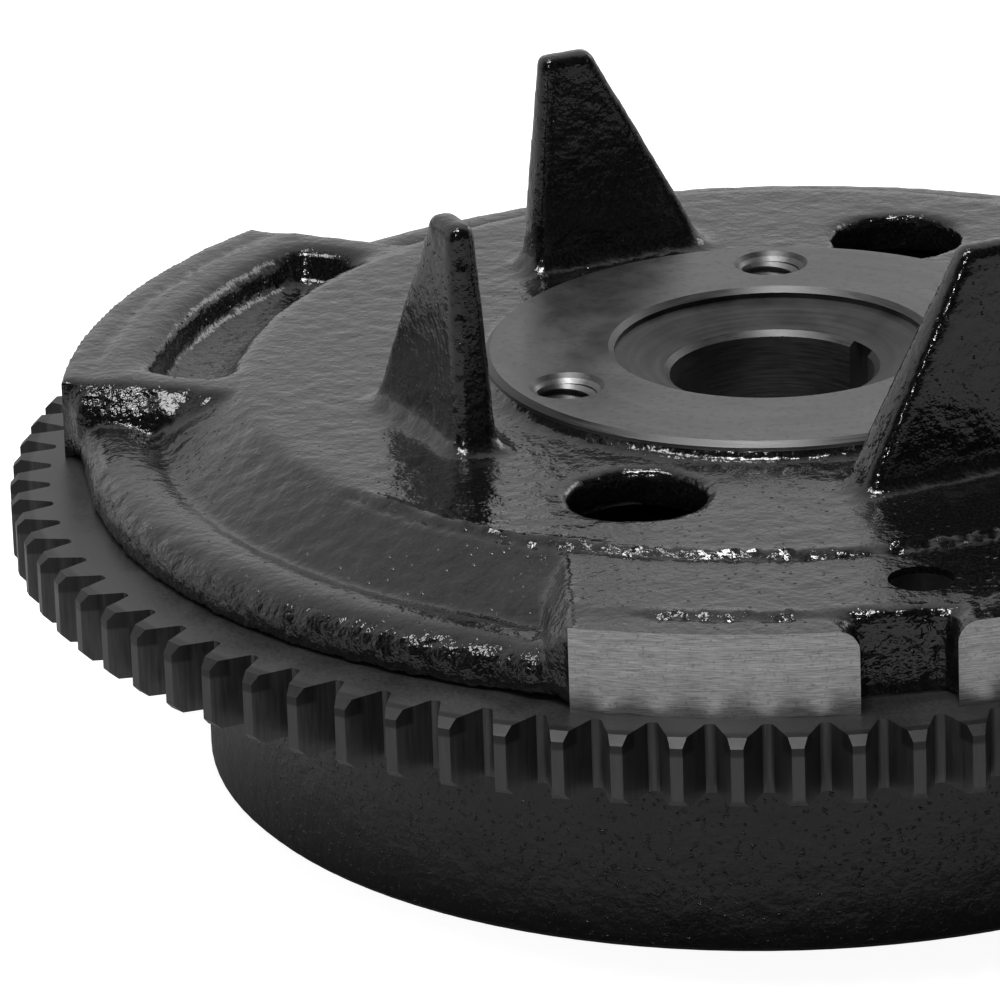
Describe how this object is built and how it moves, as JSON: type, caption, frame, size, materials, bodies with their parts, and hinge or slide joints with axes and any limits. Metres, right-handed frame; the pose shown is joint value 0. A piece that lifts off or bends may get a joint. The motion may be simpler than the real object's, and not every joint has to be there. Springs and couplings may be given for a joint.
{
  "type": "flywheel",
  "caption": "Cast flywheel with upright cooling fins, a toothed starter ring, a keyed centre bore and an alternator drum lined with magnets.",
  "frame": {"origin": "on the shaft axis, at the open rim of the drum", "axes": "+Z along the shaft axis, from the engine towards the fins; -Y through the gap between the two machined pads"},
  "size_m": [0.2234, 0.2236, 0.0899],
  "materials": {
    "cast_iron_painted": "glossy black enamel over rough cast iron, with bare turned faces",
    "gear_steel": "dark oiled steel",
    "magnet_ceramic": "matte ground ferrite",
    "cage_plastic": "matte moulded"
  },
  "bodies": {
    "root": {"flywheel_casting": "cast_iron_painted", "ring_gear": "gear_steel", "magnet_01": "magnet_ceramic", "magnet_02": "magnet_ceramic", "magnet_03": "magnet_ceramic", "magnet_04": "magnet_ceramic", "magnet_05": "magnet_ceramic", "magnet_06": "magnet_ceramic", "magnet_07": "magnet_ceramic", "magnet_08": "magnet_ceramic", "magnet_09": "magnet_ceramic", "magnet_10": "magnet_ceramic", "magnet_11": "magnet_ceramic", "magnet_12": "magnet_ceramic", "magnet_cage": "cage_plastic"}
  },
  "joints": []
}
